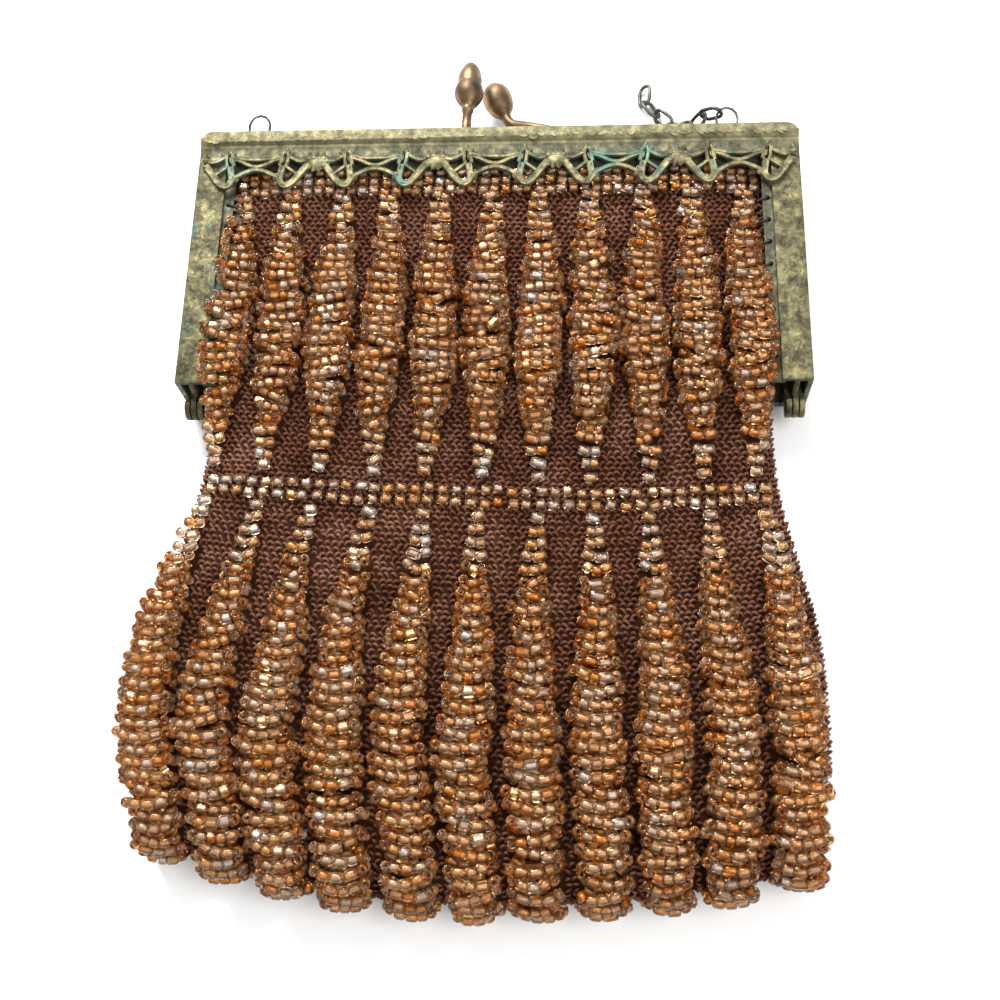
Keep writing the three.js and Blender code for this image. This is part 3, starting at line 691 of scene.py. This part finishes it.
def straightRows(face):
    beads = []
    turn = 1 if face == "front" else -1
    for row in rowsAcross:
        level = row["y"]
        left, right = (float(column(pouchRows, key, level)) for key in ("left", "right"))
        length = right - left - 2 * rowBead["margin"]
        count = int(length / row["pitch"])
        for k in range(count):
            x = left + rowBead["margin"] + (k + 0.5) * length / count + rng.normal(0, rowBead["alongSpread"])
            if abs(x) > armLine["row"] and level > armLine["end"]:
                continue
            point = pouchPoint(level + rng.normal(0, rowBead["downSpread"]), acrossOf(x, level), face)
            point[2] += turn * rowBead["stand"] * bead["radius"]
            axis = np.array([1.0, rng.normal(0, rowBead["turnSpread"]), rng.normal(0, rowBead["tipSpread"])])
            size = bead["length"] * rng.uniform(rowBead["shortest"], rowBead["longest"])
            radius = bead["radius"] * rowBead["radius"]
            radius *= rng.uniform(rowBead["thinnest"], rowBead["thickest"])
            beads.append((clearOfFrame(point, face), axis, size, radius, rng.uniform(0, math.pi),
                          beadTone(row["pale"])))
    return beads


silk = silkKnit("silkKnit", ("#4d2d1e", "#664130", "#7f5a48"), 0.12)
# painted shade: the knit's ground silk darkened for the gaps down between the stitches
ground = silkKnit("silkGroundPaintedShade", ("#24140d", "#301c13", "#3d261b"), 0.0)  # dark, down between the stitches
sheet = pouchSheet(ground)
keep(sheet, "silk_knit", "knit_pouch")
stitches = stitchPlaces("front")
above = stitches[:, 0] > knit["waist"]
roundThread = [(1, 0), (0, 1), (-1, 0), (0, -1)]
flatThread = [(1, -0.4), (0, 1), (-1, -0.4)]
stitchPieces = [
    stitchArcs("knit_stitches_upper", stitches[above], "front", 5, roundThread, silk),
    stitchArcs("knit_stitches_lower", stitches[~above], "front", 5, roundThread, silk),
    stitchArcs("knit_stitches_back", stitchPlaces("back"), "back", 3, flatThread, silk),
]
for piece in stitchPieces:
    keep(piece, "silk_knit")
print("pouch knitted, stitches:", len(stitches))

glassLook = [amberGlass(), roseLining()]
beadLooks = {"front": beadPattern(8, True), "back": beadPattern(6, False)}
beadCount = 0
for face in ("front", "back"):
    for number in range(swag["columns"]):
        beads, under = swagColumn(number, face)
        beadCount += len(beads) + len(under)
        label = f"{face}_{number + 1:02d}"
        piece = beadMesh(f"beads_{label}", beads, beadLooks[face], glassLook)
        keep(piece, "glass_beads", f"bead_swag_{label}")
        if under:
            keep(beadMesh(f"beads_under_{label}", under, beadLooks["back"], glassLook), "glass_beads")
    beads = straightRows(face)
    beadCount += len(beads)
    keep(beadMesh(f"bead_rows_{face}", beads, beadLooks[face], glassLook), "glass_beads")
print("beads strung:", beadCount)


# The frame halves: the solids' own shape with the moulding's lower edge rolled over, and raised leaf work.
frameLook = {"edge": 0.22, "armLength": 59.0, "width": 127.0, "moulding": 2.6, "plate": 13.9, "crown": 15.0,
             "strip": (12.0, 12.95), "stripLip": 0.5, "raised": 13.8, "facing": 0.3, "roll": 1.2, "near": 0.1,
             "merge": 0.005, "eyeFoot": 0.2, "coveTop": 3.7, "shadeTop": 5.9, "shadeEnd": 9.4,
             "shadeReach": 57.0}
# straight cuts along the finishes' borders, so that each face has one finish
finishCuts = [((0, -frameLook[key], 0), (0, 1, 0)) for key in ("coveTop", "shadeTop", "shadeEnd")]
finishCuts += [((side * frameLook["shadeReach"], 0, 0), (1, 0, 0)) for side in (1, -1)]
leaf = {"length": 2.3, "width": 0.95, "height": 0.04, "backHeight": 0.5, "pitch": 1.5, "stations": 6,
        "curl": 1.2, "smallest": 0.6, "largest": 1.1, "lowest": 0.6, "highest": 1.2, "scatter": 0.5,
        "tip": 0.03, "swell": 0.7}
armLeaf = {"lanes": (1.5, 2.6, 3.7, 4.8), "headings": (0.8, 1.0, 1.2, 2.2), "turnSpread": 0.25, "stray": 0.3,
           "first": -15.0, "stop": 2.0}
mouldingLeaf = {"lanes": (1.1, 1.9), "headings": (-0.7, -0.5, -0.3, 0.5), "turnSpread": 0.2, "stray": 0.15,
                "first": 2.4, "stop": 2.2}
leafSection = [(1, -0.5), (0.62, 0.55), (0, 1), (-0.62, 0.55), (-1, -0.5)]


# Rolls over the moulding's lower edge, which runs straight across the frame.
def rollEdge(made, roll):
    line = topEdge[1] - frameLook["moulding"] * mm
    bpy.ops.mesh.select_mode(type="EDGE")
    bpy.ops.mesh.select_all(action="DESELECT")
    bpy.ops.object.mode_set(mode="OBJECT")
    points = made.data.vertices
    rise = frameLook["crown"] - knit["middle"]
    for edge in made.data.edges:
        ends = [points[k].co for k in edge.vertices]
        high = all(abs(abs(end.z / mm - knit["middle"]) - rise) < frameLook["near"] for end in ends)
        edge.select = high and all(abs(end.y - line) < frameLook["near"] * mm for end in ends)
    bpy.ops.object.mode_set(mode="EDIT")
    bpy.ops.mesh.bevel(offset=roll * mm, segments=5, affect="EDGES")


# A node's solid with bevelled edges. Small facets hold the bevel back, on the frame to almost nothing.
def easedCopy(nodeName, name, materials, edge, roll=0.0):
    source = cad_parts[nodeName]
    made = bpy.data.objects.new(name, source.data.copy())
    bpy.context.scene.collection.objects.link(made)
    made.data.materials.clear()
    for material in materials:
        made.data.materials.append(material)
    editAll(made)
    bpy.ops.mesh.remove_doubles(threshold=frameLook["merge"] * mm)
    bpy.ops.mesh.dissolve_limited(angle_limit=math.radians(1))
    if roll:
        rollEdge(made, roll)
        for place, normal in finishCuts:
            bpy.ops.mesh.select_all(action="SELECT")
            bpy.ops.mesh.bisect(plane_co=np.array(place) * mm + topEdge, plane_no=normal)
    bpy.ops.object.mode_set(mode="OBJECT")
    bevelEdges(made, edge * mm, 2, 40)
    bpy.ops.object.shade_smooth_by_angle(angle=math.radians(50))
    return made


# A leaf is a curved ridge that swells in the middle and comes to a point at both ends.
def leaves(spots):
    count = leaf["stations"]
    stations = np.linspace(0, 1, count)
    swell = np.sin(np.pi * np.clip(stations, leaf["tip"], 1 - leaf["tip"])) ** leaf["swell"]
    centres, sides, ups = [], [], []
    for x, y, z, heading, length, width, height, curl, turn in spots:
        angle = heading + curl * (stations - 0.5)
        step = np.stack([np.cos(angle), np.sin(angle), np.zeros(count)], -1) * length / (count - 1)
        line = np.cumsum(step, axis=0) - step.sum(axis=0) / 2 + np.array([x, y, z])
        across = np.stack([-np.sin(angle), np.cos(angle), np.zeros(count)], -1)
        centres.append(line)
        sides.append(across * (width / 2 * swell)[:, None] * turn)
        ups.append(np.array([0, 0, turn])[None] * (height * swell)[:, None])
    return loft(np.array(centres), np.array(sides), np.array(ups), leafSection)


def leafHeading(group):
    return rng.choice(group["headings"]) + rng.normal(0, group["turnSpread"])


# Worn leaf strokes over both arms and along the moulding, most of them slanting the same way.
def leafSpots():
    spots = []
    half = frameLook["width"] / 2
    for side in (-1, 1):
        for y in np.arange(armLeaf["first"], armLeaf["stop"] - frameLook["armLength"], -leaf["pitch"]):
            for lane in armLeaf["lanes"]:
                x = side * (half - lane + rng.uniform(-armLeaf["stray"], armLeaf["stray"]))
                heading = leafHeading(armLeaf)
                spots.append((x, y + rng.normal(0, leaf["scatter"]), frameLook["plate"], heading))
    for x in np.arange(mouldingLeaf["first"] - half, half - mouldingLeaf["stop"], leaf["pitch"]):
        for lane in mouldingLeaf["lanes"]:
            heading = leafHeading(mouldingLeaf)
            spots.append((x + rng.normal(0, leaf["scatter"]), -lane + rng.normal(0, mouldingLeaf["stray"]),
                          frameLook["crown"], heading))
    sizes = rng.uniform(leaf["smallest"], leaf["largest"], len(spots))
    return [(x, y, z, heading, leaf["length"] * size, leaf["width"] * size,
             leaf["height"] * rng.uniform(leaf["lowest"], leaf["highest"]), rng.normal(0, leaf["curl"]), 1)
            for (x, y, z, heading), size in zip(spots, sizes)]


def turnedOver(spots):
    return [(-x, y, 2 * knit["middle"] - z, math.pi - heading, length, width, leaf["backHeight"] * height,
             -curl, -1) for x, y, z, heading, length, width, height, curl, _ in spots]


steel = tarnishedSteel()
finishes = {
    "plain": antiqueBrass("antiqueBrass", ("#343225", "#504b36", "#6d6749", "#8f875c"), 0.02),
    "greyed": antiqueBrass("greyedBrass", ("#38382a", "#4c4b3a", "#615e48", "#787256"), -0.01),
    "steel": steel,
    # painted shade: the brass behind the lace, darkened for the shadowed gap there
    "shaded": antiqueBrass("shadedBrass", ("#2a2d23", "#373b2d", "#454a3b", "#555a49"), -0.04),
    "litRubbed": antiqueBrass("litRubbedBrass", ("#545139", "#676349", "#7b7455", "#8f8662"), 0.0),
    "dulled": antiqueBrass("dulledBrass", ("#34372a", "#474939", "#5b5c4a", "#72705c"), -0.01),
}
frontLeaves = leafSpots()


# The cove and sewing strip have kept a grey tarnish, the brass behind the lace is darkened as painted shade,
# and the eyes are of steel wire.
def finishOf(face):
    low, high = frameLook["strip"]
    height = knit["middle"] + abs(face.center.z / mm - knit["middle"])
    across = abs(face.center.x - topEdge[0]) / mm
    down = (topEdge[1] - face.center.y) / mm
    behindLace = frameLook["shadeTop"] < down < frameLook["shadeEnd"] and across < frameLook["shadeReach"]
    if down < -frameLook["eyeFoot"]:
        return "steel"
    if behindLace and height > low - frameLook["stripLip"]:
        return "shaded"
    if low < height < high:
        return "dulled"
    raised = height > frameLook["raised"]
    if raised and frameLook["coveTop"] < down < frameLook["shadeTop"]:
        return "greyed"
    # worn lighter on the raised moulding, and on the cove's upper part a painted highlight against its shade
    if raised and down < frameLook["coveTop"] and abs(face.normal.z) > frameLook["facing"]:
        return "litRubbed"
    return "plain"


leafLooks = [finishes["plain"], finishes["litRubbed"]]
for half, spots in (("front", frontLeaves), ("back", turnedOver(frontLeaves))):
    body = easedCopy(f"frame_{half}", f"frame_{half}_eased", finishes.values(), frameLook["edge"],
                     frameLook["roll"])
    for face in body.data.polygons:
        face.material_index = list(finishes).index(finishOf(face))
    keep(body, "antique_brass", f"frame_{half}")
    points, faces = leaves(spots)
    mouldingHeight = frameLook["crown"] - knit["middle"] - frameLook["near"]
    onMoulding = np.array([abs(spot[2] - knit["middle"]) > mouldingHeight for spot in spots])
    slots = np.concatenate([np.repeat(onMoulding, len(faces[0]) // len(spots)), np.tile(onMoulding, 2)])
    keep(meshFromArrays(f"leaf_work_{half}", points, faces, leafLooks, slots), "antique_brass")
print("frame dressed, leaves:", 2 * len(frontLeaves))


# The pierced lace border: flat cast ribbons with rolled edges, along the solid's own lines, and leaves.
lace = {"repeats": 5, "top": -5.4, "low": 14.2, "thickness": 0.8, "end": 63.1, "step": 0.6, "leafRise": 0.5,
        "leafCurl": 0.3}
laceRibbons = table(
    ("about", "joined", "wide", "points"),
    # rail, sag and arch across the middle
    ("middle", True, 0.85, [(0, -1.65), (2.6, -1.55), (6.1, -0.9)]),
    ("middle", True, 0.85, [(0, -3.45), (1.5, -3.1), (3.2, -2.2), (5.2, -1.4)]),
    ("middle", True, 0.95, [(0, -4.2), (1.4, -4.45), (2.9, -5.1), (4.9, -6.3)]),
    # hoop, post and tie on both sides of it
    ("middle", False, 1.5, [(6.1, 0.3), (5.85, -2.3), (5.35, -5.0), (5.2, -7.0), (6.4, -8.2), (7.9, -7.3),
                            (9.4, -5.2), (11.0, -2.9)]),
    ("middle", False, 2.2, [(6.15, -0.3), (5.6, -3.4)]),
    ("middle", False, 0.7, [(5.8, -3.0), (8.6, -5.3)]),
    # dip below the knot
    ("knot", True, 0.9, [(1.4, -1.4), (2.4, -2.1), (3.6, -2.2), (5.0, -1.5), (6.3, -0.5)]),
)
ribbonSection = [(1, -1), (1, 0.35), (0.82, 0.8), (0.5, 0.62), (-0.5, 0.62), (-0.82, 0.8), (-1, 0.35),
                 (-1, -1)]
# The knot's boss, lobes and outer leaves: x and y from the knot, heading in degrees, length and width.
laceLeaves = [
    (0.0, -2.4, 0, 5.0, 3.8), (0.0, -1.0, 90, 2.2, 1.2), (0.95, -1.2, 58, 2.3, 1.1),
    (1.65, -1.8, 22, 2.1, 1.1), (0.5, -3.75, 285, 1.8, 1.1), (1.45, -3.4, 325, 1.8, 1.1),
    (0.0, -2.5, 90, 1.5, 1.3), (1.3, -0.5, 70, 1.6, 0.9), (6.4, 0.1, 95, 2.4, 1.3),
    (5.5, -0.9, 130, 1.8, 1.0), (7.3, -0.7, 50, 1.9, 1.0), (6.9, -2.2, 100, 2.4, 1.2),
    (7.3, -4.3, 95, 2.4, 1.0), (8.3, -6.5, 60, 1.7, 1.3), (6.3, -8.0, 12, 2.6, 1.2),
    (4.4, -6.4, 125, 2.8, 0.9),
]
repeat = frameLook["width"] / lace["repeats"]
knots = [k * repeat - frameLook["width"] / 2 for k in range(lace["repeats"] + 1)]


def ribbonLines():
    lines = []
    for knot in knots:
        for ribbon in laceRibbons:
            if ribbon["about"] == "middle" and knot == knots[-1]:
                continue
            middle = knot + repeat / 2 if ribbon["about"] == "middle" else knot
            right = np.array(ribbon["points"], float)
            left = right * [-1, 1]
            joined = np.concatenate([left[right[:, 0] > 0][::-1], right])
            for line in [joined] if ribbon["joined"] else [left, right]:
                lines.append((smoothLine(line + [middle, lace["top"]], lace["step"]), ribbon["wide"]))
    return lines


def knotLeaves(level, turn):
    spots = []
    rise = lace["thickness"] * lace["leafRise"]
    for knot in knots:
        for x, y, heading, length, width in laceLeaves:
            for side in (-1, 1) if x else (1,):
                place = knot + side * x
                if abs(place) >= lace["end"] - length / 2:
                    continue
                angle = math.radians(heading if side * turn > 0 else 180 - heading)
                curl = lace["leafCurl"] * side * turn if x else 0
                spots.append((place * turn, lace["top"] + y, level, angle, length, width, rise, curl, turn))
    return leaves(spots)


def laceBorder(name, material, turn):
    level = lace["low"] + lace["thickness"] / 2
    level = level if turn > 0 else 2 * knit["middle"] - level
    lofts = []
    for line, wide in ribbonLines():
        line = line[np.abs(line[:, 0]) < lace["end"]]
        if len(line) < 2:
            continue
        centres = np.column_stack([line * [turn, 1], np.full(len(line), level)])[None]
        along = unit(np.gradient(centres, axis=1))
        ups = np.zeros_like(centres)
        ups[..., 2] = turn
        sides = np.cross(ups, along) * wide / 2
        lofts.append(loft(centres, sides, ups * lace["thickness"] / 2, ribbonSection[::-1]))
    lofts.append(knotLeaves(level, turn))
    points, faces = joinLofts(lofts)
    return meshFromArrays(name, points, faces, [material])


castBrass = antiqueBrass("castBrass", ("#3f3d2d", "#5f5a42", "#807857", "#9c9168"), 0.085)
for half, turn in (("front", 1), ("back", -1)):
    border = laceBorder(f"lace_{half}", castBrass, turn)
    faceOutward(border, 40)
    keep(border, "antique_brass", f"lace_border_{half}")
print("lace cast")


# The clasp knobs, turned ring by ring from a circle
knob = {"frontPlace": (-6.8, 0.3, 11.4), "frontLean": -2.2, "backPlace": (1.3, 9.3, 5.2), "backLean": 20.8,
        "sides": 32, "stem": 1.15, "stemSides": 12, "stemStep": 0.6,
        "stemPath": [(20.6, -0.5, 4.1), (19.0, 1.5, 4.2), (13.0, 5.4, 4.7), (7.0, 6.9, 5.0), (3.2, 7.4, 5.2),
                     (1.7, 8.8, 5.2), (1.2, 10.4, 5.2)]}
# height and radius of each ring
frontRings = [(0.0, 1.5), (0.5, 1.35), (1.2, 1.08), (6.0, 1.0), (6.3, 1.25), (7.1, 1.32), (7.4, 1.3),
              (8.0, 1.8), (9.0, 2.55), (10.0, 3.02), (11.0, 3.17), (12.0, 3.05), (12.8, 2.8), (13.2, 2.66),
              (13.5, 2.62), (14.4, 2.64), (15.6, 2.5), (16.8, 2.12), (17.8, 1.62), (18.5, 1.05), (18.95, 0.5),
              (19.1, 0.12)]
backRings = [(0.0, 1.05), (0.6, 1.35), (1.3, 1.95), (2.0, 2.5), (2.5, 2.76), (2.75, 2.78), (3.0, 2.92),
             (3.9, 3.16), (4.9, 3.28), (5.9, 3.25), (6.9, 3.0), (7.8, 2.54), (8.5, 1.95), (9.1, 1.25),
             (9.5, 0.6), (9.7, 0.15)]


def turnedKnob(name, rings, material):
    deselectAll()
    low, wide = rings[0]
    bpy.ops.mesh.primitive_circle_add(vertices=knob["sides"], radius=wide * mm, fill_type="NGON",
                                      location=(0, 0, low * mm))
    made = bpy.context.object
    made.name = name
    editAll(made)
    for (below, before), (above, after) in zip(rings, rings[1:]):
        bpy.ops.mesh.extrude_region_move(TRANSFORM_OT_translate={"value": (0, 0, (above - below) * mm)})
        bpy.ops.transform.resize(value=(after / before, after / before, 1))
    faceOutward(made, 50)
    bpy.ops.object.transform_apply(location=True)
    made.data.materials.append(material)
    return made


# Stands a knob that was turned about Z along the purse, leaning over, with its foot at a place.
def standKnob(made, lean, place):
    stand = Matrix.Rotation(math.radians(lean), 4, "Z") @ Matrix.Rotation(-math.pi / 2, 4, "X")
    made.data.transform(Matrix.Translation(Vector(np.array(place) * mm + topEdge)) @ stand)


bronze = wornBronze()
frontKnob = turnedKnob("knob_front", frontRings, bronze)
standKnob(frontKnob, knob["frontLean"], knob["frontPlace"])
keep(frontKnob, "bronze", "clasp_knob_front")
backKnob = turnedKnob("knob_back", backRings, bronze)
standKnob(backKnob, knob["backLean"], knob["backPlace"])
stemLine = smoothLine(knob["stemPath"], knob["stemStep"])[None]
stemSides = unit(np.cross(unit(np.gradient(stemLine, axis=1)), [0, 0, 1])) * knob["stem"]
stemUps = np.zeros_like(stemLine) + [0, 0, knob["stem"]]
stemPoints, stemFaces = loft(stemLine, stemSides, stemUps, roundSection(knob["stemSides"])[::-1])
backStem = meshFromArrays("knob_back_stem", stemPoints, stemFaces, [bronze])
activate(backKnob)
backStem.select_set(True)
bpy.ops.object.join()
keep(backKnob, "bronze", "clasp_knob_back")
pinEdge = 0.15
for side in ("left", "right"):
    pin = easedCopy(f"hinge_pin_{side}", f"hinge_rivet_{side}", [bronze], pinEdge)
    keep(pin, "bronze", f"hinge_pin_{side}")
print("clasp and hinge turned")


# The rest of the chain: oval wire links, each laid as its solid lies
link = {"count": 7, "radius": 1.5, "straight": 1.0, "wire": 0.42, "around": 28, "wireSides": 10}


def ovalLink(nodeName, name, material):
    places = np.array([v.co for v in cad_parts[nodeName].data.vertices])
    centre = np.unique(places.round(7), axis=0).mean(axis=0)
    axes = np.linalg.svd(places - places.mean(axis=0), full_matrices=False)[2]
    normal = np.cross(axes[0], axes[1])
    deselectAll()
    bpy.ops.mesh.primitive_torus_add(major_segments=link["around"], minor_segments=link["wireSides"],
                                     major_radius=link["radius"] * mm, minor_radius=link["wire"] * mm)
    made = bpy.context.object
    made.name = name
    for vertex in made.data.vertices:
        if abs(vertex.co.x) > 0.01 * mm:
            vertex.co.x += math.copysign(link["straight"] * mm, vertex.co.x)
    lay = Matrix((axes[0], axes[1], normal)).transposed().to_4x4()
    made.data.transform(Matrix.Translation(Vector(centre)) @ lay)
    bpy.ops.object.shade_smooth()
    made.data.materials.append(material)
    return made


for number in range(1, link["count"] + 1):
    keep(ovalLink(f"chain_link_{number}", f"link_{number}", steel), "chain_steel", f"chain_link_{number}")
print("chain linked")


# Black thread through the sewing holes, each stitch slanting from its hole in over the knit's edge
sewing = {"first": -17.0, "pitch": 5.2, "count": 8, "inset": 7.0, "strip": 12.8, "thread": 0.2,
          "sides": 6, "step": 0.3,
          "path": [(0, 0, -1.2), (0, 0, 0.12), (0.7, -0.25, 0.3), (1.5, -0.5, 0.05), (2.0, -0.6, -1.3)]}


def sewingStitches(material):
    lofts = []
    for side in (-1, 1):
        for k in range(sewing["count"]):
            x = side * (frameLook["width"] / 2 - sewing["inset"])
            y = sewing["first"] - k * sewing["pitch"]
            path = [(x - side * inward, y + along, sewing["strip"] + rise)
                    for inward, along, rise in sewing["path"]]
            line = smoothLine(path, sewing["step"])[None]
            along = unit(np.gradient(line, axis=1))
            sides = unit(np.cross(along, [0.0, 1.0, 0.0])) * sewing["thread"]
            ups = np.cross(sides, along)
            lofts.append(loft(line, sides, ups, roundSection(sewing["sides"])[::-1]))
    points, faces = joinLofts(lofts)
    return meshFromArrays("sewing_thread", points, faces, [material])


keep(sewingStitches(sewingSilk()), "silk_knit")
print("sewn in")


# Floor and light

def addFloor():
    deselectAll()
    bpy.ops.mesh.primitive_plane_add(size=3)
    floor = bpy.context.object
    floor.name = "floor"
    material, _, shader = startMaterial("palePaper", Roughness=0.85)
    shader.inputs["Base Color"].default_value = linear("#f4f3f1")
    floor.data.materials.append(material)


def addLight(name, place, size, power):
    bpy.ops.object.light_add(type="AREA", location=place)
    lamp = bpy.context.object
    lamp.name = name
    lamp.data.size = size
    lamp.data.energy = power
    lamp.rotation_euler = (-Vector(place)).to_track_quat("-Z", "Y").to_euler()


addFloor()
addLight("window", (-0.22, 0.58, 0.6), 0.45, 14.8)
addLight("softbox", (0.45, -0.25, 0.8), 0.6, 7.0)
world = bpy.data.worlds.new("studio")
bpy.context.scene.world = world
world.use_nodes = True
sky = world.node_tree.nodes["Background"].inputs
sky["Color"].default_value = linear("#f5f7fa")
sky["Strength"].default_value = 0.66
bpy.context.scene.view_settings.view_transform = "Standard"
print("lit")
